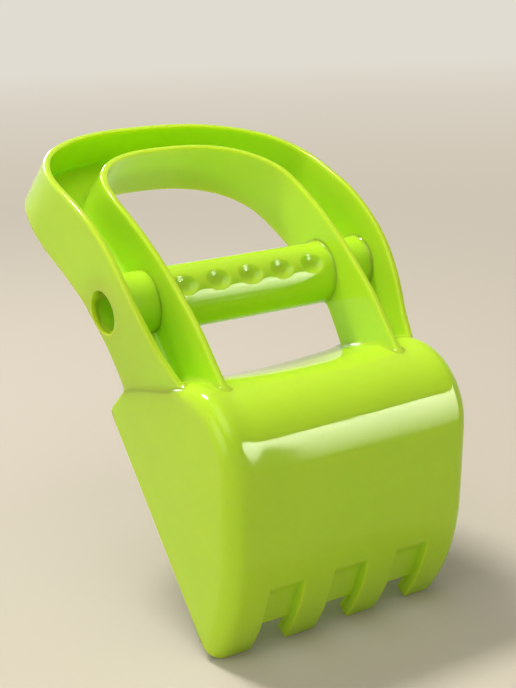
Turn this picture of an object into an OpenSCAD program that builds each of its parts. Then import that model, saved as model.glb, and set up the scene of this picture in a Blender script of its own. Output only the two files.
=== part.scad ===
// Hand shovel for sand: a toothed scoop under a looped handle, which a dimpled tube crosses as the grip.
// Each piece is drawn about the grip's axis, with the handle's legs upright and the scoop's mouth towards +Y.
// posed() then leans the whole shovel back and stands it on its teeth, with +Z up.

/* [Grip] */
// Outer diameter of the tube that the hand closes round
grip_d = 24; // [20:0.5:26]
// Diameter of the bore that runs through the grip and both sides of the handle
bore_d = 16; // [8:0.5:17]
// Diameter of one thumb dimple
dimple_d = 10; // [6:0.5:11]
// Depth of one thumb dimple
dimple_depth = 1.8; // [0.8:0.1:2]
// Distance between neighbouring dimples
dimple_pitch = 14; // [12:0.5:15]
// Number of dimples
dimple_count = 5; // [3:2:5]

/* [Handle] */
// Width over the outer band
handle_w = 117; // [112:1:126]
// Height of the arch above the grip's axis
arch_h = 88.6; // [82:1:98]
// Depth of the bands from front rim to back edge
handle_depth = 31; // [29:0.5:36]
// Distance from the grip's axis forward to the front rim
rim_reach = 22; // [20:0.5:24]
// Clear width of the channel between the two bands
channel_w = 15.4; // [13:0.2:17]
// Depth from the front rim to the web that closes the channel
channel_depth = 22; // [18:0.5:24]
// Thickness of the bands and of the web
band_t = 2.3; // [1.8:0.1:3]
// Radius of the handle's backward bend
bend_r = 115; // [100:5:130]
// Angle by which the top of the handle is bent back
bend_angle = 31; // [22:1:34]

/* [Scoop] */
// Width of the scoop
scoop_w = 104; // [98:1:108]
// Distance from the grip's axis down to the scoop's flat top
top_drop = 24; // [22:0.5:26]
// Distance from the grip's axis back to the plane of the scoop's mouth
mouth_reach = 33.5; // [31:0.5:36]
// Radius of the scoop's rounded back
back_r = 27; // [25:0.5:29]
// Distance from the grip's axis down to the centre of the rounded back
back_drop = 65; // [63:0.5:68]
// Length of the straight face below the rounded back
face_len = 27; // [22:0.5:32]
// Radius of the sweep from the face to the tips of the teeth
toe_r = 76; // [68:1:84]
// Thickness of the scoop's wall
wall = 2.4; // [1.8:0.1:3]
// Radius of the scoop's long edges
edge_r = 7; // [5:0.5:8]

/* [Teeth] */
// Number of teeth
tooth_count = 4; // [3:1:4]
// Distance from one tooth to the next
tooth_pitch = 27.6; // [26:0.2:28]
// Width of the groove between two teeth
groove_w = 14.2; // [10:0.2:16]
// Depth of the groove
groove_depth = 3; // [1.5:0.1:4]
// Length of each tooth that stands free
tooth_len = 11; // [8:0.5:14]

/* [Pose] */
// Angle by which the shovel leans back from upright
lean = 40; // [36:1:44]

/* [Hidden] */
$fn = 96;

plastic = "#B0D530";
over = 1;

// Handle from the front: legs below the springing line, a superellipse above it
arch_power = 2.5;
arch_steps = 14;
outer_half = handle_w / 2;
outer_spring = 45;
inner_half = outer_half - band_t - channel_w;
inner_spring = 35;
inner_top = arch_h - band_t - channel_w;
inner_splay = 1.4;
leg_slope = 22;
leg_turn_z = 14.6;
leg_r = 140;
leg_angle = 14;
leg_steps = 5;
foot_z = -back_drop;

// Angle by which the dimples face below the front
dimple_turn = 6;

// Handle from the side
bend_z = -grip_d / 2;
bend_steps = 7;
foot_flare_r = 8;
flare_steps = 6;

// Scoop from the side: shoulder, round back, straight face and toe
shoulder_slope = 26;
face_slope = 46;
groove_slope = 35;
back_y = back_r - mouth_reach;
back_centre = [back_y, -back_drop];
back_steps = 18;
toe_steps = 9;
edge_steps = 4;
top_edge_share = 0.35;

function spot(centre, r, a) = centre + r * [cos(a), sin(a)];
function steps(from, to, count) = [for (i = [0 : count]) from + (to - from) * i / count];

face_turn = 270 - face_slope;
toe_centre = spot(back_centre, back_r - toe_r, face_turn) + face_len * [cos(face_slope), -sin(face_slope)];
// Slope of the toe where it meets the plane of the mouth, e below its skin
function mouth_slope(e) = asin((toe_centre.x - mouth_reach) / (toe_r - e));
tip_slope = mouth_slope(0);
tip = spot(toe_centre, toe_r, 270 - tip_slope);

// Points of the handle's rims, seen from the side
function bent(z) = let (rise = z - bend_z, arc_rise = bend_r * sin(bend_angle))
    rise <= 0 ? 0
    : rise <= arc_rise ? bend_r - sqrt(bend_r * bend_r - rise * rise)
    : bend_r * (1 - cos(bend_angle)) + (rise - arc_rise) * tan(bend_angle);
function rim_y(z, depth) = bent(z) - rim_reach + depth;
function rim(z_low, depth) = let (arc_end = bend_z + bend_r * sin(bend_angle), z_high = arch_h + over)
    [for (z = concat([z_low], steps(bend_z, arc_end, bend_steps), [z_high])) [rim_y(z, depth), z]];
function reversed(points) = [for (i = [len(points) - 1 : -1 : 0]) points[i]];

function arch(half, spring, top) = [for (a = steps(0, 90, arch_steps))
    [half * pow(cos(a), 2 / arch_power), spring + (top - spring) * pow(sin(a), 2 / arch_power)]];
function both_sides(points) = concat(points,
    [for (p = reversed(points)) if (p.x > 0) [-p.x, p.y]]);
function outer_outline(inset) = let (half = outer_half - inset)
    both_sides(concat([[half, foot_z - inset]], arch(half, outer_spring, arch_h - inset)));
// The outer legs curve in towards the scoop, and end in a straight taper
function leg_outline(inset) = let (
    bend_centre = [outer_half - leg_r, leg_turn_z],
    r = leg_r - inset,
    taper_end = spot(bend_centre, r, -leg_angle),
    fall = taper_end.y - foot_z + inset)
    both_sides(concat([[taper_end.x - fall * tan(leg_angle), foot_z - inset]],
        [for (a = steps(-leg_angle, 0, leg_steps)) spot(bend_centre, r, a)],
        [[outer_half - inset, 2 * arch_h]]));
function inner_outline(inset) = let (half = inner_half - inset)
    both_sides(concat([[half - (inner_spring - foot_z + inset) * tan(inner_splay), foot_z - inset]],
        arch(half, inner_spring, inner_top - inset)));

// The scoop's side, e below its skin, with its open ends past the mouth
function scoop_side(e, top_e, past) = let (
    turn_in = 90 + shoulder_slope,
    shoulder = spot(back_centre, back_r - e, turn_in),
    top = -top_drop - top_e,
    shoulder_y = shoulder.x + (top - shoulder.y) / tan(shoulder_slope),
    last_turn = 270 - mouth_slope(e),
    last = spot(toe_centre, toe_r - e, last_turn))
    concat([[mouth_reach + past, top], [shoulder_y, top]],
        [for (a = steps(turn_in, face_turn, back_steps)) spot(back_centre, back_r - e, a)],
        [for (a = steps(face_turn, last_turn, toe_steps)) spot(toe_centre, toe_r - e, a)],
        past > 0 ? [last + past * [-sin(last_turn), cos(last_turn)]] : []);

// Lean, and the shift that puts the origin under the middle of the shovel, at the tips of the teeth
lift = tip.x * sin(lean) - tip.y * cos(lean);
back_reach = back_y * cos(lean) - back_drop * sin(lean) - back_r;
arch_reach = rim_y(arch_h, handle_depth) * cos(lean) + arch_h * sin(lean);

module posed() translate([0, -(back_reach + arch_reach) / 2, lift]) rotate([-lean, 0, 0]) children();

// Extrude an outline seen from the side, or one seen from the front
module across(half) rotate([90, 0, 90]) linear_extrude(2 * half, center = true) children();
module through() rotate([90, 0, 0]) linear_extrude(4 * arch_h, center = true) children();
module outer_form(inset) intersection() {
    through() polygon(outer_outline(inset));
    rotate([leg_slope, 0, 0]) through() polygon(leg_outline(inset));
}
module along_grip(r) rotate([0, 90, 0]) cylinder(h = handle_w + 2 * over, r = r, center = true);

module scoop_form(skin, past) hull() for (a = steps(0, 90, edge_steps)) {
    e = (edge_r - skin) * (1 - cos(a));
    across(scoop_w / 2 - edge_r + (edge_r - skin) * sin(a))
        polygon(scoop_side(skin + e, skin + e * top_edge_share, past));
}

// Wedge of the toe from slope s onwards, between two depths under its skin
module toe_slice(s, high, low) {
    a_list = steps(270 - s, 270 - tip_slope, toe_steps);
    tangent = [cos(tip_slope), -sin(tip_slope)];
    outside = [for (a = a_list) spot(toe_centre, toe_r - high, a)];
    inside = [for (a = reversed(a_list)) spot(toe_centre, toe_r - low, a)];
    polygon(concat(outside, [outside[toe_steps] + 4 * wall * tangent, inside[0] + 4 * wall * tangent], inside));
}

module at_grooves() for (i = [1 : tooth_count - 1])
    translate([(i - tooth_count / 2) * tooth_pitch, 0, 0]) children();

module scoop_shell() difference() {
    scoop_form(0, 0);
    difference() {
        scoop_form(wall, 4 * wall);
        at_grooves() across(groove_w / 2 + wall) toe_slice(groove_slope + 2, -over, groove_depth + wall);
    }
    at_grooves() across(groove_w / 2) toe_slice(groove_slope, -over, groove_depth);
    at_grooves() across(groove_w / 2)
        toe_slice(tip_slope + tooth_len / toe_r * 180 / PI, -over, groove_depth + wall + over);
}

// The lip from just above the grooves down, parted square to its wall
module lip_region() {
    a = 270 - groove_slope - 4;
    outside = spot(toe_centre, toe_r + over, a);
    inside = spot(toe_centre, toe_r - groove_depth - 2 * wall, a);
    across(scoop_w) polygon([outside, inside, [2 * mouth_reach, inside.y],
        [2 * mouth_reach, tip.y - over], [outside.x, tip.y - over]]);
}

module scoop() color(plastic) posed() difference() {
    scoop_shell();
    lip_region();
}

module tooth_edge() color(plastic) posed() intersection() {
    scoop_shell();
    lip_region();
}

// Side view of a band, with a flared foot on the scoop's flat top
module band_side() {
    leg_back = rim_y(foot_z, handle_depth);
    flare_centre = [leg_back + foot_flare_r, -top_drop + foot_flare_r];
    polygon(concat(rim(foot_z, 0), reversed(rim(flare_centre.y, handle_depth)),
        [for (a = steps(180, 270, flare_steps)) spot(flare_centre, foot_flare_r, a)],
        [[flare_centre.x, foot_z]]));
}

module outer_band() color(plastic) posed() difference() {
    intersection() {
        outer_form(0);
        across(handle_w) band_side();
    }
    outer_form(band_t);
    scoop_form(0, 0);
    along_grip(bore_d / 2);
}

module inner_band() color(plastic) posed() difference() {
    intersection() {
        through() difference() {
            polygon(inner_outline(0));
            polygon(inner_outline(band_t));
        }
        across(handle_w) band_side();
    }
    scoop_form(0, 0);
    along_grip(grip_d / 2);
}

module channel_web() color(plastic) posed() difference() {
    intersection() {
        outer_form(band_t);
        across(handle_w)
            polygon(concat(rim(foot_z, channel_depth), reversed(rim(foot_z, channel_depth + band_t))));
    }
    through() polygon(inner_outline(0));
    scoop_form(0, 0);
    along_grip(grip_d / 2);
}

module grip_tube() color(plastic) posed() difference() {
    intersection() {
        along_grip(grip_d / 2);
        outer_form(band_t);
    }
    along_grip(bore_d / 2);
    ball_r = (dimple_d * dimple_d / 4 + dimple_depth * dimple_depth) / (2 * dimple_depth);
    rotate([dimple_turn, 0, 0]) for (i = [0 : dimple_count - 1])
        translate([(i - (dimple_count - 1) / 2) * dimple_pitch, dimple_depth - grip_d / 2 - ball_r, 0])
            sphere(r = ball_r);
}

scoop();
tooth_edge();
outer_band();
inner_band();
channel_web();
grip_tube();
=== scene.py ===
import math
import bpy
from mathutils import Matrix, Vector


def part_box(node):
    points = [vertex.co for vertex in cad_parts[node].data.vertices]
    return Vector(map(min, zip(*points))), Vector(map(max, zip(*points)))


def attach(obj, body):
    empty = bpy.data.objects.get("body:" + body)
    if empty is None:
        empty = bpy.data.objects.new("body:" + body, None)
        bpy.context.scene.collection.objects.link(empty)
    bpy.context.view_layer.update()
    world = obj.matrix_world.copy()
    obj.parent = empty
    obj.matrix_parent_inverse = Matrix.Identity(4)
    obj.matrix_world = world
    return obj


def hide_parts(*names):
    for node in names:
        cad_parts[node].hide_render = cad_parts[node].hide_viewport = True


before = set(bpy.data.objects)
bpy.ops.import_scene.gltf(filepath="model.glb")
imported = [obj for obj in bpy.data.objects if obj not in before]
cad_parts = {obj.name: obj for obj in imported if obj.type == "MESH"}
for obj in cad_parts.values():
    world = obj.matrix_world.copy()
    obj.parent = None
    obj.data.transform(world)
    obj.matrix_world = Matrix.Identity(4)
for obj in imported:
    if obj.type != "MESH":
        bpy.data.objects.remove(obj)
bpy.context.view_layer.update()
bpy.ops.object.select_all(action="DESELECT")

# Every piece is drawn in mm about the middle of the grip, legs upright and mouth towards +Y,
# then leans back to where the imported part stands
gripLow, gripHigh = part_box("grip_tube")
stance = {"lean": 40, "middle": (gripLow + gripHigh) / 2}
leanBack = Matrix.Translation(stance["middle"]) @ Matrix.Rotation(math.radians(-stance["lean"]), 4, "X")


def cosd(a):
    return math.cos(math.radians(a))


def sind(a):
    return math.sin(math.radians(a))


def spot(centre, r, a):
    return (centre[0] + r * cosd(a), centre[1] + r * sind(a))


def mix(a, b, t):
    return a + (b - a) * t


def steps(start, end, count):
    return [mix(start, end, i / count) for i in range(count + 1)]


def easeStep(t):
    t = min(max(t, 0), 1)
    return t * t * (3 - 2 * t)


# A smooth curve through (place, value) points, straight on beyond its ends
def curveAt(points, at):
    slopes = []
    for i in range(len(points)):
        before, after = points[max(i - 1, 0)], points[min(i + 1, len(points) - 1)]
        slopes.append((after[1] - before[1]) / (after[0] - before[0]))
    if at <= points[0][0]:
        return points[0][1] + slopes[0] * (at - points[0][0])
    if at >= points[-1][0]:
        return points[-1][1] + slopes[-1] * (at - points[-1][0])
    i = max(k for k in range(len(points) - 1) if points[k][0] <= at)
    gap = points[i + 1][0] - points[i][0]
    t = (at - points[i][0]) / gap
    return (points[i][1] * (1 + 2 * t) * (1 - t) ** 2 + points[i + 1][1] * t * t * (3 - 2 * t)
            + gap * (slopes[i] * t * (1 - t) ** 2 - slopes[i + 1] * t * t * (1 - t)))


def pickOnly(piece):
    bpy.ops.object.select_all(action="DESELECT")
    piece.select_set(True)
    bpy.context.view_layer.objects.active = piece


# A flat grid of rows and columns, each point then moved to its place on the piece
def wrapGrid(name, rows, columns, place):
    bpy.ops.object.select_all(action="DESELECT")
    bpy.ops.mesh.primitive_grid_add(x_subdivisions=columns - 1, y_subdivisions=rows - 1, size=1)
    piece = bpy.context.object
    piece.name = piece.data.name = name
    rowMark = piece.data.attributes.new("row", "INT", "POINT")
    columnMark = piece.data.attributes.new("column", "INT", "POINT")
    for point in piece.data.vertices:
        row, column = divmod(point.index, columns)
        rowMark.data[point.index].value = row
        columnMark.data[point.index].value = column
        point.co = Vector(place(row, column)) / 1000
    return piece


def addModifier(piece, kind, **settings):
    pickOnly(piece)
    modifier = piece.modifiers.new(kind.title(), kind)
    for setting, value in settings.items():
        setattr(modifier, setting, value)
    bpy.ops.object.modifier_apply(modifier=modifier.name)


mergeGap = 0.00001  # points closer than this are one


def mergePoints(piece):
    pickOnly(piece)
    bpy.ops.object.mode_set(mode="EDIT")
    bpy.ops.mesh.select_all(action="SELECT")
    bpy.ops.mesh.remove_doubles(threshold=mergeGap)
    bpy.ops.object.mode_set(mode="OBJECT")


# The left half as the mirror image of the right one, joined to it along the middle
def addLeftHalf(piece):
    addModifier(piece, "MIRROR", use_axis=(True, False, False), use_mirror_merge=True,
                merge_threshold=mergeGap)


# Into edit mode with only the faces that pass the test chosen
def chooseFaces(piece, test):
    pickOnly(piece)
    bpy.ops.object.mode_set(mode="EDIT")
    bpy.ops.mesh.select_mode(type="FACE")
    bpy.ops.mesh.select_all(action="DESELECT")
    bpy.ops.object.mode_set(mode="OBJECT")
    for face in piece.data.polygons:
        face.select = test(face)
    bpy.ops.object.mode_set(mode="EDIT")


def turnOutwards(piece):
    pickOnly(piece)
    bpy.ops.object.mode_set(mode="EDIT")
    bpy.ops.mesh.select_all(action="SELECT")
    bpy.ops.mesh.normals_make_consistent(inside=False)
    bpy.ops.object.mode_set(mode="OBJECT")


crispAngle = 50  # an edge that turns by more than this stays crisp


# Lean a finished piece back, smooth it and hand it to the frame
def handOver(piece, finish, *nodes):
    pickOnly(piece)
    for mark in ("row", "column"):
        if mark in piece.data.attributes:
            piece.data.attributes.remove(piece.data.attributes[mark])
    piece.matrix_world = leanBack
    bpy.ops.object.transform_apply(location=True, rotation=True, scale=True)
    bpy.ops.object.shade_smooth_by_angle(angle=math.radians(crispAngle))
    piece.data.materials.clear()
    piece.data.materials.append(finish)
    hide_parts(*nodes)
    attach(piece, "root")
    print(piece.name, "has", len(piece.data.polygons), "faces")


# sRGB hex to linear colour
def hexColour(code):
    parts = [int(code[i:i + 2], 16) / 255 for i in (1, 3, 5)]
    return [p / 12.92 if p <= 0.04045 else ((p + 0.055) / 1.055) ** 2.4 for p in parts] + [1]


def addNode(material, kind, settings=None, links=None):
    tree = material.node_tree
    node = tree.nodes.new(kind)
    for key, value in (settings or {}).items():
        if isinstance(key, str) and hasattr(node, key):
            setattr(node, key, value)
        else:
            node.inputs[key].default_value = value
    for key, source in (links or {}).items():
        tree.links.new(source, node.inputs[key])
    return node


limePlastic = {
    "body": "#C7F03A",
    "deep": "#BFEA34",
    "ior": 1.49,
    "specular": 0.32,
    "roughness": (0.06, 0.12),  # where it is clean, and where sand has scuffed it
    "scuffed": (0.35, 0.75),  # where in the scuff pattern the one passes into the other
    "radiusMm": (5.2, 4.8, 1.6),  # how far red, green and blue light spread inside
    "blendMm": 26,  # slow change of colour where the melt cooled unevenly
    "peelMm": 2.4,  # faint orange peel of a polished mould
    "peelDepthMm": 0.2,
    "peelStrength": 0.05,
    "scuffMm": 0.5,
}


# Injection-moulded polypropylene from a polished mould: glossy and slightly waxy, and light glows
# through its thin walls
def makeLimePolypropylene():
    material = bpy.data.materials.new("limePolypropylene")
    material.use_nodes = True
    material.node_tree.nodes.clear()
    place = addNode(material, "ShaderNodeTexCoord").outputs["Object"]
    cloud = addNode(material, "ShaderNodeTexNoise", {"Scale": 1000 / limePlastic["blendMm"], "Detail": 2.0},
                    {"Vector": place})
    colour = addNode(material, "ShaderNodeMix", {"data_type": "RGBA"}, {"Factor": cloud.outputs["Fac"]})
    colour.inputs[6].default_value = hexColour(limePlastic["body"])
    colour.inputs[7].default_value = hexColour(limePlastic["deep"])
    peel = addNode(material, "ShaderNodeTexNoise", {"Scale": 1000 / limePlastic["peelMm"], "Detail": 1.0},
                   {"Vector": place})
    scuff = addNode(material, "ShaderNodeTexNoise", {"Scale": 1000 / limePlastic["scuffMm"], "Detail": 3.0},
                    {"Vector": place})
    wear = addNode(material, "ShaderNodeMapRange",
                   {"From Min": limePlastic["scuffed"][0], "From Max": limePlastic["scuffed"][1],
                    "To Min": limePlastic["roughness"][0], "To Max": limePlastic["roughness"][1]},
                   {"Value": scuff.outputs["Fac"]})
    bump = addNode(material, "ShaderNodeBump",
                   {"Strength": limePlastic["peelStrength"], "Distance": limePlastic["peelDepthMm"] / 1000},
                   {"Height": peel.outputs["Fac"]})
    # the scale of 0.001 turns the radius from millimetres to metres
    surface = addNode(material, "ShaderNodeBsdfPrincipled",
                      {"IOR": limePlastic["ior"], "Specular IOR Level": limePlastic["specular"],
                       "Subsurface Weight": 1.0, "Subsurface Scale": 0.001,
                       "Subsurface Radius": limePlastic["radiusMm"]},
                      {"Base Color": colour.outputs[2], "Roughness": wear.outputs["Result"],
                       "Normal": bump.outputs["Normal"]})
    addNode(material, "ShaderNodeOutputMaterial", None, {"Surface": surface.outputs[0]})
    return material


limePolypropylene = makeLimePolypropylene()

scoop = {
    "halfWidth": 52,
    "topDrop": 24,  # from the grip's middle down to the flat top
    "mouthReach": 33.5,
    "backRadius": 27,
    "backDrop": 65,
    "faceLength": 27,
    "toeRadius": 76,
    "wall": 2.4,
    "edgeRadius": 7,
    "topEdgeShare": 0.2,  # how much of the edge's rounding shows along the flat top
    "cornerRadius": 3.4,
    "shoulderSlope": 26,
    "faceSlope": 46,
    "crestBlend": 2.5,
    "crestSoftness": 1.2,  # of the crest as the handle's feet meet it
    "toothPitch": 27.6,
    "grooveWidth": 14.2,
    "grooveDepth": 3,
    "grooveSlope": 36,  # the skin's slope where a groove's head begins
    "grooveRun": 6,  # and by how many degrees it runs down to full depth
    "innerHeadRise": 2,  # the head begins earlier on the inner skin
    "toothLength": 11,
    # points down a tooth's side: (column's distance from the groove's wall) to depth under the skin
    "toothSide": {-0.27: 2.95, -0.5: 3.4, -0.8: 3.9},
    "toothInset": 0.22,
    "rimRadius": 0.6,
    "sideCrown": 0.9,
    "sideTopDrop": 2.45,
    "legReach": 37,
    "dishReach": 50,
    # how deep the back is dished between the legs: (way along the profile, at the middle, beside a leg)
    "dish": [(-69, 0, 0), (-53, 0.9, 0.8), (-41, 2, 1.8), (-32, 2.8, 2.5), (-25, 3.1, 2.4), (-18, 3.0, 1.3),
             (-12, 3.0, 0.7), (-5, 3.1, 0.7), (6, 3.4, 1.2), (16, 3.7, 2.1), (25, 2.1, 1.2), (33.5, 0, 0)],
    # how much of the edge's rounding shows along the profile, where the legs' feet fill it
    "edgeShare": [(-32, 1), (-26, 0.9), (-20, 0.6), (-13, 0.4), (-3, 0.3), (10, 0.22), (33.5, 0.2)],
}
backCentre = (scoop["backRadius"] - scoop["mouthReach"], -scoop["backDrop"])
shoulderTurn = 90 + scoop["shoulderSlope"]
faceTurn = 270 - scoop["faceSlope"]
toeStart = spot(backCentre, scoop["backRadius"] - scoop["toeRadius"], faceTurn)
toeCentre = (toeStart[0] + scoop["faceLength"] * cosd(scoop["faceSlope"]),
             toeStart[1] - scoop["faceLength"] * sind(scoop["faceSlope"]))


# The toe's slope where it reaches the plane of the mouth, e under its skin
def mouthSlope(e):
    return math.degrees(math.asin((toeCentre[0] - scoop["mouthReach"]) / (scoop["toeRadius"] - e)))


gapSlope = mouthSlope(0) + math.degrees(scoop["toothLength"] / scoop["toeRadius"])

# Rows of the scoop, from the top of the mouth over the back to the tips: (stretch, how far along it).
# On the back that is the turn, and on the toe the slope, where rows crowd at the heads of the grooves
headStart = scoop["grooveSlope"] + 1.5
headEnd = scoop["grooveSlope"] - scoop["grooveRun"]
scoopRows = [("top", t) for t in (0, 0.01, 0.022, 0.036, 0.053, 0.075, 0.12, 0.2, 0.4, 0.6, 0.8, 1)]
scoopRows += [("crest", t) for t in steps(0, 1, 6)]
scoopRows += [("shoulder", t) for t in steps(0, 1, 6)[1:-1]]
scoopRows += [("back", a) for a in steps(shoulderTurn, faceTurn, 44)]
scoopRows += [("toe", s) for s in steps(scoop["faceSlope"], headStart, 6)]
scoopRows += [("toe", s) for s in steps(headStart, headEnd, 14)[1:]]
scoopRows += [("toe", s) for s in steps(headEnd, gapSlope, 10)[1:]]
scoopRows += [("tooth", t) for t in (0.06, 0.14, 0.25, 0.4, 0.55, 0.7, 0.84, 0.94, 1)]


# The way along the profile, falling towards the teeth: Y over the top, then the arc round the back
def profileWay(y, turn):
    if turn < shoulderTurn:
        return y
    return backCentre[0] + scoop["backRadius"] * (cosd(shoulderTurn) - math.radians(turn - shoulderTurn))


# How deep the dish is at x across and that way along the profile
def dishAt(x, way):
    x = abs(x)
    if x >= scoop["dishReach"] or way <= scoop["dish"][0][0]:
        return 0
    middle = max(curveAt([(w, d) for w, d, _ in scoop["dish"]], way), 0)
    leg = max(curveAt([(w, d) for w, _, d in scoop["dish"]], way), 0)
    if x <= scoop["legReach"]:
        return mix(middle, leg, (x / scoop["legReach"]) ** 2)
    return leg * (1 - easeStep((x - scoop["legReach"]) / (scoop["dishReach"] - scoop["legReach"])))


def edgeShareAt(way):
    return 1 if way < scoop["edgeShare"][0][0] else min(curveAt(scoop["edgeShare"], way), 1)


# Where a row lies, seen from the side, e under the scoop's skin and topE under its flat top
def sidePoint(row, e, topE):
    stretch, t = scoopRows[row]
    turn = spot(backCentre, scoop["backRadius"] - e, shoulderTurn)
    top = -scoop["topDrop"] - topE
    corner = (turn[0] + (top - turn[1]) / math.tan(math.radians(scoop["shoulderSlope"])), top)
    blend = scoop["crestBlend"]
    crestStart = (corner[0] + blend, top)
    crestEnd = (corner[0] - blend * cosd(scoop["shoulderSlope"]), top - blend * sind(scoop["shoulderSlope"]))
    if stretch == "top":
        return (mix(scoop["mouthReach"], crestStart[0], t), top)
    if stretch == "crest":
        return tuple((1 - t) ** 2 * crestStart[i] + 2 * t * (1 - t) * corner[i] + t * t * crestEnd[i]
                     for i in (0, 1))
    if stretch == "shoulder":
        return tuple(mix(crestEnd[i], turn[i], t) for i in (0, 1))
    if stretch == "back":
        return spot(backCentre, scoop["backRadius"] - e, t)
    if stretch == "toe":
        return spot(toeCentre, scoop["toeRadius"] - e, 270 - t)
    return spot(toeCentre, scoop["toeRadius"] - e, 270 - mix(gapSlope, mouthSlope(e), t))


def slopeOf(row):
    stretch, t = scoopRows[row]
    return {"toe": t, "tooth": gapSlope * (1 - t) + mouthSlope(0) * t}.get(stretch, 90)


pastDish = -99  # a way along the profile that lies beyond the dish


def rowWay(row):
    stretch, t = scoopRows[row]
    if stretch in ("top", "crest", "shoulder"):
        return sidePoint(row, 0, 0)[0]
    return profileWay(0, t) if stretch == "back" else pastDish


# Which way is out of the skin at a row, as far as the dish goes
def rowFacing(row):
    stretch, t = scoopRows[row]
    facing = {"top": 90, "crest": mix(90, shoulderTurn, t), "shoulder": shoulderTurn, "back": t}
    return facing.get(stretch, 180)


# Columns crowd into the wall of a groove: (distance from the wall, share of the groove's depth)
grooveWall = [(0.8, 0), (0.5, 0.02), (0.27, 0.09), (0.18, 0.22), (0, 0.5),
              (-0.18, 0.78), (-0.27, 0.91), (-0.5, 0.98), (-0.8, 1)]
wallBlend = grooveWall[0][0]
halfGroove = scoop["grooveWidth"] / 2
pitch = scoop["toothPitch"]
flatHalf = scoop["halfWidth"] - scoop["edgeRadius"]


# Each column of the scoop's back has its place on the outer skin, x, and on the inner one, inX
def floorColumns(groove, places):
    spread = (halfGroove + scoop["wall"] - wallBlend) / (halfGroove - wallBlend)
    return [{"kind": "floor", "x": groove + x, "inX": groove + x * spread, "share": 1} for x in places]


def wallColumns(groove, side):
    return [{"kind": "wall", "x": groove + side * (halfGroove + q),
             "inX": groove + side * (halfGroove + scoop["wall"] + q),
             "share": share, "groove": groove, "q": q, "side": side}
            for q, share in (reversed(grooveWall) if side > 0 else grooveWall)]


def plainColumns(start, end, inStart, inEnd, count):
    return [{"kind": "plain", "x": mix(start, end, t), "inX": mix(inStart, inEnd, t), "share": 0}
            for t in steps(0, 1, count)[1:-1]]


# From the middle of the back over its grooves and the rounded edge to the side's rim
wallEnd = halfGroove + wallBlend
inWallEnd = wallEnd + scoop["wall"]
columns = floorColumns(0, (0, 1.6, 3.2, 4.8))
columns += wallColumns(0, 1)
columns += plainColumns(wallEnd, pitch - wallEnd, inWallEnd, pitch - inWallEnd, 6)
columns += wallColumns(pitch, -1)
columns += floorColumns(pitch, (-4.7, -3.1, -1.6, 0, 1.6, 3.1, 4.7))
columns += wallColumns(pitch, 1)
columns += plainColumns(pitch + wallEnd, flatHalf, pitch + inWallEnd, flatHalf, 5)
columns += [{"kind": "edge", "turn": a} for a in steps(0, 90, 12)]
columns += [{"kind": "side", "reach": t}
            for t in (0.03, 0.1, 0.2, 0.3, 0.4, 0.5, 0.6, 0.7, 0.8, 0.9, 0.97, 1)]

# How far each row lies along the outline of the side wall
sideRun = [0.0]
for row in range(1, len(scoopRows)):
    a, b = [sidePoint(end, scoop["edgeRadius"], scoop["sideTopDrop"]) for end in (row - 1, row)]
    sideRun.append(sideRun[-1] + math.hypot(b[0] - a[0], b[1] - a[1]))


# The side walls' upper corner at the mouth is rounded
def roundCorner(y, z, top, share):
    r = scoop["cornerRadius"] * share
    across, down = r - scoop["mouthReach"] + y, r - top + z
    if min(across, down) <= 0:
        return y, z
    scale = max(across, down) / math.hypot(across, down)
    return scoop["mouthReach"] - r + across * scale, top - r + down * scale


# A point between the rounded edges, on the outer skin, or on the inner one where skin is the wall
def backPoint(row, place, skin):
    inner = skin > 0
    x = place["inX"] if inner else place["x"]
    head = scoop["grooveSlope"] + (scoop["innerHeadRise"] if inner else 0)
    deep = scoop["grooveDepth"] * easeStep((head - slopeOf(row)) / scoop["grooveRun"]) * place["share"]
    if scoopRows[row][0] == "tooth" and place.get("q") in scoop["toothSide"]:
        # the side of a tooth, straight through
        toothEdge = place["groove"] + place["side"] * (halfGroove - scoop["toothInset"])
        if not inner:
            x, deep = toothEdge, scoop["toothSide"][place["q"]]
        elif place["q"] == -wallBlend:
            x, deep = toothEdge, scoop["grooveDepth"]
    y, z = sidePoint(row, skin + deep, skin)
    y, z = spot((y, z), -dishAt(x, rowWay(row)), rowFacing(row))
    return (x, y, z)


def scoopPoint(row, column, skin):
    place = columns[column]
    if place["kind"] in ("floor", "wall", "plain"):
        return backPoint(row, place, skin)
    r = scoop["edgeRadius"] - skin
    turn = place.get("turn", 90)
    e = r * (1 - cosd(turn))
    y, z = sidePoint(row, skin + e * edgeShareAt(rowWay(row)), skin + e * scoop["topEdgeShare"])
    skinTop = -scoop["topDrop"] - scoop["edgeRadius"] * (1 - cosd(turn)) * scoop["topEdgeShare"]
    if place["kind"] == "edge":
        x = flatHalf + r * sind(turn)
        y, z = spot((y, z), -dishAt(x, rowWay(row)), rowFacing(row))
        return (x, *roundCorner(y, z, skinTop, easeStep(turn / 90)))
    # a side wall runs from the edge to the flat rim of the mouth, and is crowned a little
    low = sidePoint(len(scoopRows) - 1, skin + e, 0)[1]
    high = sidePoint(0, 0, skin + e * scoop["topEdgeShare"])[1]
    t = place["reach"]
    along = sideRun[row] / sideRun[-1]
    crown = scoop["sideCrown"] * math.sin(math.pi * along) * easeStep(2 * t) * (1 - t)
    y, z = roundCorner(mix(y, scoop["mouthReach"], t), mix(z, mix(high, low, along), t), skinTop, 1)
    return (flatHalf + r + crown, y, z)


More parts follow.
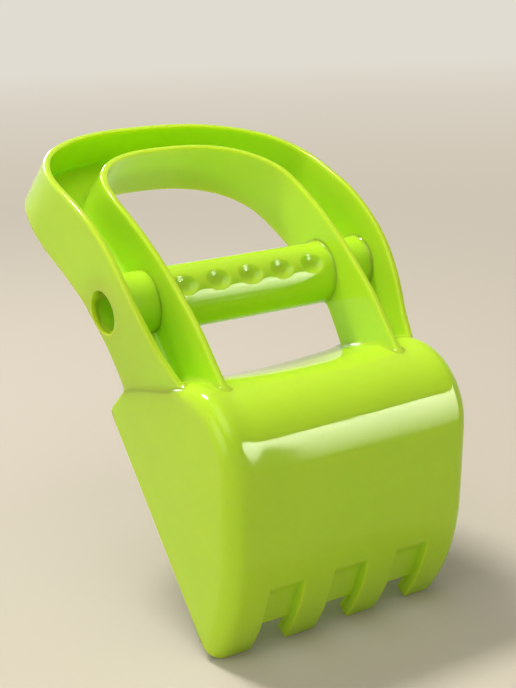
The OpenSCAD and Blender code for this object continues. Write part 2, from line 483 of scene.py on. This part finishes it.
def buildScoop():
    piece = wrapGrid("scoopShell", len(scoopRows), len(columns),
                     lambda row, column: scoopPoint(row, column, 0))
    rowMark = [m.value for m in piece.data.attributes["row"].data]
    columnMark = [m.value for m in piece.data.attributes["column"].data]

    def betweenTeeth(face):
        rows = [rowMark[v] for v in face.vertices]
        places = [columns[columnMark[v]] for v in face.vertices]
        return (all(scoopRows[row][0] == "tooth" or abs(slopeOf(row) - gapSlope) < 0.001 for row in rows)
                and all(place["kind"] == "floor" or place.get("q") == -wallBlend for place in places))

    chooseFaces(piece, betweenTeeth)
    bpy.ops.mesh.delete(type="FACE")
    bpy.ops.mesh.select_mode(type="VERT")
    bpy.ops.mesh.select_all(action="SELECT")
    bpy.ops.mesh.delete_loose(use_verts=True, use_edges=True, use_faces=False)
    bpy.ops.object.mode_set(mode="OBJECT")
    mergePoints(piece)
    addLeftHalf(piece)
    turnOutwards(piece)
    # the wall inwards, and then its inner skin put where the inside of the mould would leave it
    skinPoints = len(piece.data.vertices)
    addModifier(piece, "SOLIDIFY", thickness=scoop["wall"] / 1000, offset=-1, use_rim=True)
    rowMark = piece.data.attributes["row"].data
    columnMark = piece.data.attributes["column"].data
    for point in piece.data.vertices:
        if point.index >= skinPoints:
            x, y, z = scoopPoint(rowMark[point.index].value, columnMark[point.index].value, scoop["wall"])
            outside = piece.data.vertices[point.index - skinPoints].co.x
            point.co = Vector((math.copysign(x, outside) if abs(outside) > 1e-7 else 0, y, z)) / 1000
    # both edges of the rim are rounded
    rimEdges = set()
    for face in piece.data.polygons:
        inside = [v >= skinPoints for v in face.vertices]
        if any(inside) and not all(inside):
            rimEdges.update(key for key in face.edge_keys if (key[0] >= skinPoints) == (key[1] >= skinPoints))
    weight = piece.data.attributes.new("bevel_weight_edge", "FLOAT", "EDGE")
    for edge in piece.data.edges:
        weight.data[edge.index].value = 1.0 if tuple(sorted(edge.vertices)) in rimEdges else 0.0
    addModifier(piece, "BEVEL", width=scoop["rimRadius"] / 1000, segments=3, limit_method="WEIGHT",
                use_clamp_overlap=False)
    turnOutwards(piece)
    return piece


print("scoop")
scoopShell = buildScoop()
handOver(scoopShell, limePolypropylene, "scoop", "tooth_edge")

handle = {
    "halfWidth": 58.5,
    "archHeight": 88.6,
    "outerSpring": 45,
    "depth": 31,
    # the bands' front rims and back edges up the handle: (height above the grip's middle, place along Y)
    "outerNear": [(-50, -19.5), (-40, -19.1), (-30, -19.2), (-15, -21.1), (0, -21.9), (13.8, -20.4),
                  (27, -16.6), (36, -12.3), (46, -7.0), (60, 1.4), (70, 7.5), (80, 14.0), (92, 21.3)],
    "outerFar": [(-30, 21.6), (-24.1, 17.4), (-20.1, 14.9), (-16.1, 12.7), (-12, 11), (-7.7, 9.8), (-3, 9.4),
                 (2, 9.4), (7, 9.6), (10.6, 10.3), (14.2, 11.5), (21, 14.1), (28.2, 17.3), (35.9, 21.2),
                 (43.1, 24.1), (50, 26.2), (60, 29.4), (70, 34.4), (80, 40.4), (92, 47.6)],
    "innerNear": [(-50, -24.8), (-40, -24.8), (-30, -25), (-24, -24.8), (-15, -23.8), (0, -21.4),
                  (13.8, -18.1), (27, -13.7), (36, -10.1), (46, -5.7), (60, 2.1), (71, 8.7)],
    "innerFar": [(-45, 8), (-30, 5.5), (-22, 4.2), (-15, 3.4), (-8, 3.6), (0, 5.2), (13.8, 9.4),
                 (27, 14.8), (46, 24.1), (60, 32.1), (71, 39.3)],
    "bandThickness": 2.3,
    "channelWidth": 15.4,
    "channelDepth": 22,
    "innerSpring": 35,
    "innerSplay": 1.4,
    "archPower": 2.5,
    "bendStart": -12,
    "bendRadius": 115,
    "bendAngle": 31,
    "legSlope": 22,
    "legTurn": 14.6,
    "legRadius": 140,
    "legAngle": 14,
    "rimRadius": 0.55,
    "webFillet": 1.5,
    "footFillet": 1.3,
    "footProud": 0.02,  # past the scoop's side, where a foot's outer face runs out onto it
    "footTuck": 0.15,  # and in under it, below the skin
    "runOutDepth": 7,  # how far behind the band's front rim this is complete
    "boreRadius": 8,
}


# How far the handle bends towards +Y at height z: upright, then an arc, then straight on
def bent(z):
    rise = z - handle["bendStart"]
    arcRise = handle["bendRadius"] * sind(handle["bendAngle"])
    if rise <= 0:
        return 0
    if rise <= arcRise:
        return handle["bendRadius"] - math.sqrt(handle["bendRadius"] ** 2 - rise * rise)
    return (handle["bendRadius"] * (1 - cosd(handle["bendAngle"]))
            + (rise - arcRise) * math.tan(math.radians(handle["bendAngle"])))


# Half the width across the outer band, which curves in towards its feet
def legHalf(y, z, inset):
    along = z * cosd(handle["legSlope"]) - y * sind(handle["legSlope"])
    r = handle["legRadius"] - inset
    centre = (handle["halfWidth"] - handle["legRadius"], handle["legTurn"])
    end = spot(centre, r, -handle["legAngle"])
    if along >= handle["legTurn"]:
        return handle["halfWidth"] - inset
    if along >= end[1]:
        return centre[0] + math.sqrt(r * r - (along - centre[1]) ** 2)
    return end[0] - (end[1] - along) * math.tan(math.radians(handle["legAngle"]))


innerHalf = handle["halfWidth"] - handle["bandThickness"] - handle["channelWidth"]
innerTop = handle["archHeight"] - handle["bandThickness"] - handle["channelWidth"]
archCount = 44
legCount = 40
footLevels = [-1.0, 0.0, 0.1, 0.3, 0.65, 1.3, 2.2]  # how far the foot's rows stand off the scoop


# The arch as a superellipse, its points spread evenly along it
def archPoints(half, spring, top):
    fineCount = 600
    power = 2 / handle["archPower"]
    fine = []
    for i in range(fineCount + 1):
        a = i * 90 / fineCount
        fine.append((half * max(cosd(a), 0) ** power, spring + (top - spring) * max(sind(a), 0) ** power))
    run = [0.0]
    for p, q in zip(fine, fine[1:]):
        run.append(run[-1] + math.hypot(q[0] - p[0], q[1] - p[1]))
    points, at = [], 0
    for i in range(archCount + 1):
        goal = run[-1] * i / archCount
        while at < fineCount - 1 and run[at + 1] < goal:
            at += 1
        t = (goal - run[at]) / (run[at + 1] - run[at])
        points.append((mix(fine[at][0], fine[at + 1][0], t), mix(fine[at][1], fine[at + 1][1], t)))
    points[-1] = (0, top)
    return points


# The handle's H-shaped section as a ring: (band, distance in from its outer face, depth behind its
# front rim), or on the web ("web", share of the way across, depth)
def sectionColumns():
    t, r, f = handle["bandThickness"], handle["rimRadius"], handle["webFillet"]
    web, back = handle["channelDepth"], handle["channelDepth"] + t
    deep = handle["depth"]
    roundCut = 0.29  # how far the middle of a round lies in from its corner, as a share of its radius
    s, fs = r * roundCut, f * roundCut
    margin = 2.2
    ring = [("outer", 0, d) for d in [r] + steps(margin, deep - margin, 11) + [deep - r]]
    ring += [("outer", s, deep - s), ("outer", r, deep), ("outer", t - r, deep), ("outer", t - s, deep - s),
             ("outer", t, deep - r), ("outer", t, mix(deep - r, back + f, 0.5))]
    ring += [("outer", t, back + f), ("outer", t + fs, back + fs), ("outer", t + f, back)]
    ring += [("web", w, back) for w in (0.15, 0.35, 0.5, 0.65, 0.85)]
    ring += [("inner", -f, back), ("inner", -fs, back + fs), ("inner", 0, back + f)]
    ring += [("inner", 0, mix(back + f, deep - r, 0.5)), ("inner", 0, deep - r), ("inner", s, deep - s),
             ("inner", r, deep), ("inner", t - r, deep), ("inner", t - s, deep - s)]
    ring += [("inner", t, d) for d in [deep - r] + steps(deep - margin, margin, 11) + [r]]
    ring += [("inner", t - s, s), ("inner", t - r, 0), ("inner", r, 0), ("inner", s, s)]
    ring += [("inner", 0, d) for d in [r] + steps(2, web - f - 1, 8) + [web - f]]
    ring += [("inner", -fs, web - fs), ("inner", -f, web)]
    ring += [("web", w, web) for w in (0.85, 0.65, 0.5, 0.35, 0.15)]
    ring += [("outer", t + f, web), ("outer", t + fs, web - fs)]
    ring += [("outer", t, d) for d in [web - f] + steps(web - f - 1, 2, 8) + [r]]
    ring += [("outer", t - s, s), ("outer", t - r, 0), ("outer", r, 0), ("outer", s, s)]
    return ring + ring[:1]


section = sectionColumns()
arches = {}


def bandArch(band, inset):
    if (band, inset) not in arches:
        half, spring, top = {"outer": (handle["halfWidth"], handle["outerSpring"], handle["archHeight"]),
                             "inner": (innerHalf, handle["innerSpring"], innerTop)}[band]
        arches[band, inset] = archPoints(half - inset, spring, top - inset)
    return arches[band, inset]


# The web keeps to the handle's bend, and each band reaches from it to a rim of its own
def rimY(band, z, depth):
    front, back = handle["channelDepth"], handle["channelDepth"] + handle["bandThickness"]
    if depth < front:
        return mix(curveAt(handle[band + "Near"], z), bent(z), depth / front)
    if depth > back:
        return mix(bent(z) + back - front, curveAt(handle[band + "Far"], z),
                   (depth - back) / (handle["depth"] - back))
    return bent(z) + depth - front


def bandHalf(band, inset, y, z):
    if band == "outer":
        return legHalf(y, z, inset)
    return innerHalf - inset - (handle["innerSpring"] - z) * math.tan(math.radians(handle["innerSplay"]))


# Where the web passes into the fillets of the two bands
def webEnds():
    f = handle["webFillet"]
    return ("outer", handle["bandThickness"] + f), ("inner", -f)


# A point of the leg at height z, before the foot's fillet
def legPoint(column, z):
    band, inset, depth = section[column]
    y = rimY(band, z, depth)
    if band == "web":
        ends = [bandHalf(b, i, y, z) for b, i in webEnds()]
        return (mix(ends[0], ends[1], inset), y, z)
    return (bandHalf(band, inset, y, z), y, z)


# How far a point stands off the scoop's skin, roughly
def offScoop(x, y, z):
    over = min(max(abs(x) - flatHalf, 0), scoop["edgeRadius"])
    e = scoop["edgeRadius"] - math.sqrt(scoop["edgeRadius"] ** 2 - over * over)
    dy, dz = y - backCentre[0], z - backCentre[1]
    turn = math.degrees(math.atan2(dz, dy)) % 360
    way = profileWay(y, turn)
    deep = dishAt(x, way)
    if turn < shoulderTurn:
        shoulder = (dy * cosd(shoulderTurn) + dz * sind(shoulderTurn) - scoop["backRadius"] + deep
                    + e * edgeShareAt(way))
        top = z + scoop["topDrop"] + deep + e * scoop["topEdgeShare"]
        soft = scoop["crestSoftness"]
        return max(top, shoulder) + max(soft - abs(top - shoulder), 0) ** 2 / (4 * soft)
    return math.hypot(dy, dz) - scoop["backRadius"] + deep + e * edgeShareAt(way)


# The height at which the point that place gives for it stands off the scoop by that much
def heightWhere(place, level):
    low, high = -75.0, -5.0
    for _ in range(40):
        middle = (low + high) / 2
        if offScoop(*place(middle)) > level:
            high = middle
        else:
            low = middle
    return high


def footRows():
    def footPoint(column, level):
        return legPoint(column, heightWhere(lambda z: legPoint(column, z), level))

    clear = [footPoint(column, footLevels[-1]) for column in range(len(section) - 1)]
    count = len(clear)
    outward = []
    for i in range(count):
        a, b = clear[i - 1], clear[(i + 1) % count]
        dx, dy = b[0] - a[0], b[1] - a[1]
        size = math.hypot(dx, dy)
        outward.append((dy / size, -dx / size))
    if outward[4][0] < 0:  # a column of the outer band's outer face
        outward = [(-x, -y) for x, y in outward]
    r = handle["footFillet"]
    rows = []
    for level in footLevels:
        row = []
        gap = max(r - max(level, 0), 0)
        flare = r - math.sqrt(r * r - gap * gap)
        near = 1 - max(level, 0) / footLevels[-1]
        sideX = scoop["halfWidth"] + (handle["footProud"] if level >= 0 else -handle["footTuck"])
        for i in range(count):
            x, y, z = footPoint(i, level)
            facesOut = outward[i][0] > 0.3
            if facesOut and x > flatHalf:
                # the leg's outer face runs softly out onto the scoop's side, less so towards its front rim
                share = easeStep((section[i][2] - r) / handle["runOutDepth"])
                x = mix(x, sideX, near * near * share)
                row.append((x, y, heightWhere(lambda height: (x, y, height), level)))
                continue
            x, y = x + outward[i][0] * flare, y + outward[i][1] * flare
            row.append((x, y, heightWhere(lambda height: (x, y, height), level) if flare else z))
        rows.append(row + row[:1])
    return rows


feet = footRows()


# A point of one band above its foot: up the leg from the height low, and then along the arch
def bandPoint(band, inset, depth, row, low):
    if row > legCount:
        x, z = bandArch(band, inset)[row - legCount]
        return (x, rimY(band, z, depth), z)
    z = mix(low, handle[band + "Spring"], row / legCount)
    y = rimY(band, z, depth)
    return (bandHalf(band, inset, y, z), y, z)


def handlePoint(row, column):
    if row < len(footLevels):
        return feet[row][column]
    band, inset, depth = section[column]
    row -= len(footLevels) - 1
    low = feet[-1][column][2]
    if band == "web":
        ends = [bandPoint(b, i, depth, row, low) for b, i in webEnds()]
        return tuple(mix(p, q, inset) for p, q in zip(*ends))
    return bandPoint(band, inset, depth, row, low)


def buildHandle():
    rows = len(footLevels) + legCount + archCount
    piece = wrapGrid("handleLoop", rows, len(section), handlePoint)
    mergePoints(piece)
    addLeftHalf(piece)
    # the legs' open ends, under the scoop's skin, are closed
    pickOnly(piece)
    bpy.ops.object.mode_set(mode="EDIT")
    bpy.ops.mesh.select_all(action="DESELECT")
    bpy.ops.mesh.select_non_manifold(extend=False, use_wire=False, use_multi_face=False,
                                     use_non_contiguous=False, use_verts=False)
    bpy.ops.mesh.edge_face_add()
    bpy.ops.object.mode_set(mode="OBJECT")
    turnOutwards(piece)
    return piece


boreCutter = {
    "half": 6,  # half the length of the plain cylinder
    "throat": 5.4,
    # (how far on, how much wider than the bore)
    "flare": [(0.2, 0.05), (0.2, 0.16), (0.2, 0.36), (0.6, 1.5)],
    "flareDepth": 0.6,  # how far under the leg's outer face the throat ends
    "tiltSpan": 3,  # how far above and below the bore that face's slope is read
}


# The bore through both legs, its edge rounded by a cutter that opens like a trumpet
def cutBores(piece):
    r = handle["boreRadius"]
    span = boreCutter["tiltSpan"]
    tilt = math.atan((legHalf(0, span, 0) - legHalf(0, -span, 0)) / (2 * span))
    inward = legHalf(0, 0, 0) - (boreCutter["half"] + boreCutter["throat"] + boreCutter["flareDepth"])
    for side in (1, -1):
        bpy.ops.object.select_all(action="DESELECT")
        bpy.ops.mesh.primitive_cylinder_add(vertices=96, radius=r / 1000, depth=2 * boreCutter["half"] / 1000,
                                            end_fill_type="NGON")
        cutter = bpy.context.object
        chooseFaces(cutter, lambda face: face.normal.z > 0.9)
        wide = r
        for rise, wider in [(boreCutter["throat"], 0)] + boreCutter["flare"]:
            bpy.ops.mesh.extrude_region_move(TRANSFORM_OT_translate={"value": (0, 0, rise / 1000)})
            grow = (r + wider) / wide
            bpy.ops.transform.resize(value=(grow, grow, 1))
            wide = r + wider
        bpy.ops.object.mode_set(mode="OBJECT")
        cutter.matrix_world = (Matrix.Translation((side * inward / 1000, 0, 0))
                               @ Matrix.Rotation(side * (math.pi / 2 + tilt), 4, "Y"))
        bpy.ops.object.transform_apply(location=True, rotation=True, scale=True)
        addModifier(piece, "BOOLEAN", operation="DIFFERENCE", solver="EXACT", object=cutter)
        bpy.data.objects.remove(cutter)


print("handle")
handleLoop = buildHandle()
cutBores(handleLoop)
handOver(handleLoop, limePolypropylene, "outer_band", "inner_band", "channel_web")

grip = {
    "radius": 12,
    "bore": 8,
    "halfLength": 56.8,
    "dimple": 10,
    "dimpleDepth": 1.8,
    "dimplePitch": 14,
    "dimpleCount": 5,
    "dimpleTurn": 6,
    "edgeBlend": 0.25,
    "fillet": 1.5,
    # where the fillets lie: at the inner faces of the inner band, which splays, and of the outer band
    "filletPlaces": (innerHalf - handle["bandThickness"] - 0.55,
                     handle["halfWidth"] - handle["bandThickness"]),
    "filletFade": (2, 6),  # how far behind the tube's middle they fade out, towards the bands' back edges
    "slantFrom": 47,
    "slantRun": 9,
    # rings of points along each half, close together where the dimples and the fillets are
    "dimpleRings": [0.4 * i for i in range(82)],
    "endRings": [33.6, 34.6, 35.6, 36.3, 36.7, 37, 37.3, 37.5, 37.7, 37.9, 38.6, 39.3, 40, 40.3, 40.5, 40.8,
                 41.2, 42, 44, 47, 50, 53, 54.6, 54.9, 55.2, 55.5, 55.8, 55.95],
}


# The tube's radius at one place along and around it, with its dimples and its fillets at the bands
def gripRadius(x, turn):
    r = grip["radius"]
    ball = (grip["dimple"] ** 2 / 4 + grip["dimpleDepth"] ** 2) / (2 * grip["dimpleDepth"])
    off = r - grip["dimpleDepth"] + ball
    for i in range(grip["dimpleCount"]):
        dx = x - (i - (grip["dimpleCount"] - 1) / 2) * grip["dimplePitch"]
        reach = ball * ball - dx * dx - (off * sind(turn)) ** 2
        if reach > 0 and cosd(turn) > 0:
            cut = off * cosd(turn) - math.sqrt(reach)
            blend = grip["edgeBlend"]
            h = max(blend - abs(r - cut), 0) / blend
            r = min(r, cut) - h * h * blend / 4
    behind = -grip["radius"] * cosd(turn + grip["dimpleTurn"])
    full, gone = grip["filletFade"]
    meets = easeStep((gone - behind) / (gone - full))
    for face in grip["filletPlaces"]:
        gap = abs(abs(x) - face)
        if gap < grip["fillet"]:
            r += meets * (grip["fillet"] - math.sqrt(grip["fillet"] ** 2 - (grip["fillet"] - gap) ** 2))
    return r


def buildGrip():
    reach = grip["halfLength"]
    half = grip["dimpleRings"] + grip["endRings"] + [reach]
    profile = [(x, None) for x in [-x for x in reversed(half[1:])] + half]
    profile += [(x, grip["bore"]) for x in steps(reach, -reach, 12)]
    profile.append(profile[0])
    # finer across the dimples than round the back
    turns = [1.5 * i for i in range(-22, 23)] + steps(33, 327, 62)[1:]

    def place(row, column):
        x, r = profile[row]
        turn = turns[column]
        r = gripRadius(x, turn) if r is None else r
        a = 180 + turn + grip["dimpleTurn"]
        y, z = r * cosd(a), r * sind(a)
        # the ends follow the slope of the outer band
        face = legHalf(y, z, handle["bandThickness"])
        if abs(x) > grip["slantFrom"]:
            slant = mix(grip["slantFrom"], face, (abs(x) - grip["slantFrom"]) / grip["slantRun"])
            x = math.copysign(slant, x)
        return (x, y, z)

    piece = wrapGrid("gripTube", len(profile), len(turns), place)
    mergePoints(piece)
    turnOutwards(piece)
    return piece


print("grip")
gripTube = buildGrip()
handOver(gripTube, limePolypropylene, "grip_tube")


floor = {
    "colour": "#CAC0B0",
    "middle": "#D0C6B5",
    "far": "#E1DCD1",
    "roughness": (0.85, 0.95),
    "grainMm": 3,
    # distances from the shovel in metres: where the even glow begins and is full, and the far tint is full
    "glowFrom": 0.25,
    "glowTo": 1.0,
    "farFrom": 3.5,
    "radius": 5.0,
    "rise": 2.2,
}


# Painted studio floor: matt and pale. Far from the shovel it glows evenly, to the camera and in
# reflections alone
def makePaleFloor():
    material = bpy.data.materials.new("paleStudioFloor")
    material.use_nodes = True
    material.node_tree.nodes.clear()
    place = addNode(material, "ShaderNodeTexCoord").outputs["Object"]
    grain = addNode(material, "ShaderNodeTexNoise", {"Scale": 1000 / floor["grainMm"], "Detail": 3.0},
                    {"Vector": place})
    rough = addNode(material, "ShaderNodeMapRange",
                    {"To Min": floor["roughness"][0], "To Max": floor["roughness"][1]},
                    {"Value": grain.outputs["Fac"]})
    paint = addNode(material, "ShaderNodeBsdfPrincipled", {"Base Color": hexColour(floor["colour"])},
                    {"Roughness": rough.outputs["Result"]})
    away = addNode(material, "ShaderNodeVectorMath", {"operation": "LENGTH"}, {0: place}).outputs["Value"]
    farShare = addNode(material, "ShaderNodeMapRange",
                       {"interpolation_type": "SMOOTHSTEP",
                        "From Min": floor["glowFrom"], "From Max": floor["glowTo"]},
                       {"Value": away}).outputs["Result"]
    farTint = addNode(material, "ShaderNodeMapRange",
                      {"From Min": floor["glowTo"], "From Max": floor["farFrom"]},
                      {"Value": away}).outputs["Result"]
    tint = addNode(material, "ShaderNodeMix", {"data_type": "RGBA"}, {"Factor": farTint})
    tint.inputs[6].default_value = hexColour(floor["middle"])
    tint.inputs[7].default_value = hexColour(floor["far"])
    glow = addNode(material, "ShaderNodeEmission", None, {"Color": tint.outputs[2]})
    ray = addNode(material, "ShaderNodeLightPath").outputs
    seen = addNode(material, "ShaderNodeMath", {"operation": "MAXIMUM"},
                   {0: ray["Is Camera Ray"], 1: ray["Is Glossy Ray"]}).outputs[0]
    seen = addNode(material, "ShaderNodeMath", {"operation": "MAXIMUM"},
                   {0: seen, 1: ray["Is Transmission Ray"]}).outputs[0]
    share = addNode(material, "ShaderNodeMath", {"operation": "MULTIPLY"}, {0: seen, 1: farShare}).outputs[0]
    surface = addNode(material, "ShaderNodeMixShader", None,
                      {0: share, 1: paint.outputs[0], 2: glow.outputs[0]})
    addNode(material, "ShaderNodeOutputMaterial", None, {"Surface": surface.outputs[0]})
    return material


# A round floor, its rim curving up into a wall far from the shovel
def buildFloor():
    bpy.ops.object.select_all(action="DESELECT")
    bpy.ops.mesh.primitive_circle_add(vertices=96, radius=floor["radius"], fill_type="NGON",
                                      location=(0, 0, 0))
    piece = bpy.context.object
    piece.name = piece.data.name = "studioFloor"
    bpy.ops.object.mode_set(mode="EDIT")
    turns = steps(0, 90, 9)
    for before, after in zip(turns, turns[1:]):
        run = floor["rise"] * (sind(after) - sind(before))
        rise = floor["rise"] * (cosd(before) - cosd(after))
        bpy.ops.mesh.extrude_region_move(TRANSFORM_OT_translate={"value": (0, 0, rise)})
        bpy.ops.object.mode_set(mode="OBJECT")
        width = max(v.co.x for v in piece.data.vertices)
        bpy.ops.object.mode_set(mode="EDIT")
        grow = (width + run) / width
        bpy.ops.transform.resize(value=(grow, grow, 1))
    bpy.ops.mesh.delete(type="ONLY_FACE")
    bpy.ops.object.mode_set(mode="OBJECT")
    piece.data.materials.append(makePaleFloor())
    bpy.ops.object.shade_smooth()
    return piece


print("floor")
studioFloor = buildFloor()

# Places and sizes in metres. A glossOnly lamp shows in reflections and lights nothing
lampAim = Vector((0, 0, 0.09))
lamps = {
    "sun": {"from": (-0.44, 1.2, 2.65), "size": (0.55, 0.55), "power": 62, "colour": (1, 0.99, 0.95)},
    "sky": {"from": (-0.42, -0.52, 1.45), "size": (1.2, 1.2), "power": 7.6, "colour": (1, 1, 1)},
    "leftFill": {"from": (-1.3, -0.15, 0.5), "size": (0.9, 0.7), "power": 3.5, "colour": (1, 0.99, 0.96)},
    "backSky": {"from": (-0.08, 1.95, 1.02), "size": (1.4, 0.55), "power": 40, "colour": (0.97, 1, 1),
                "glossOnly": True},
    "rightStrip": {"from": (0.29, -0.39, 0.15), "size": (0.2, 0.3), "power": 1.2, "colour": (1, 1, 0.76),
                   "glossOnly": True, "fade": (0.3, 3)},
}


# Make a lamp brightest along its top
def fadeDown(lightData, dim, bright):
    lightData.use_nodes = True
    across = addNode(lightData, "ShaderNodeNewGeometry").outputs["Parametric"]
    split = addNode(lightData, "ShaderNodeSeparateXYZ", None, {0: across})
    fade = addNode(lightData, "ShaderNodeMapRange", {"To Min": dim, "To Max": bright},
                   {"Value": split.outputs["Y"]})
    tree = lightData.node_tree
    tree.links.new(fade.outputs["Result"], tree.nodes["Emission"].inputs["Strength"])


print("lamps and camera")
for name, lamp in lamps.items():
    lightData = bpy.data.lights.new(name, "AREA")
    lightData.shape = "RECTANGLE"
    lightData.size, lightData.size_y = lamp["size"]
    lightData.energy = lamp["power"]
    lightData.color = lamp["colour"]
    light = bpy.data.objects.new(name, lightData)
    bpy.context.scene.collection.objects.link(light)
    light.location = lamp["from"]
    light.visible_camera = False
    light.visible_diffuse = "glossOnly" not in lamp
    if "fade" in lamp:
        fadeDown(lightData, *lamp["fade"])
    aim = lampAim - Vector(lamp["from"])
    light.rotation_euler = aim.to_track_quat("-Z", "Y").to_euler()

air = {"colour": "#F2F0EA", "strength": 0.3}
world = bpy.data.worlds.new("softStudio")
bpy.context.scene.world = world
world.use_nodes = True
world.node_tree.nodes["Background"].inputs["Color"].default_value = hexColour(air["colour"])
world.node_tree.nodes["Background"].inputs["Strength"].default_value = air["strength"]

# The camera of the photograph: its place in metres, and which ways it faces
view = {
    "from": (-0.26792, -0.43718, 0.22807),
    "right": (0.83363, -0.55125, -0.03437),
    "forward": (0.52580, 0.81109, -0.25623),
    "up": (0.16912, 0.19552, 0.96600),
    "lens": 71.30,
    "sensor": 36,
    "nearest": 0.01,
}
cameraData = bpy.data.cameras.new("photoView")
cameraData.lens = view["lens"]
cameraData.sensor_width = view["sensor"]
cameraData.clip_start = view["nearest"]
camera = bpy.data.objects.new("photoView", cameraData)
bpy.context.scene.collection.objects.link(camera)
turn = Matrix((view["right"], view["up"], [-v for v in view["forward"]])).transposed().to_4x4()
camera.matrix_world = Matrix.Translation(view["from"]) @ turn
bpy.context.scene.camera = camera
bpy.context.scene.view_settings.view_transform = "Standard"
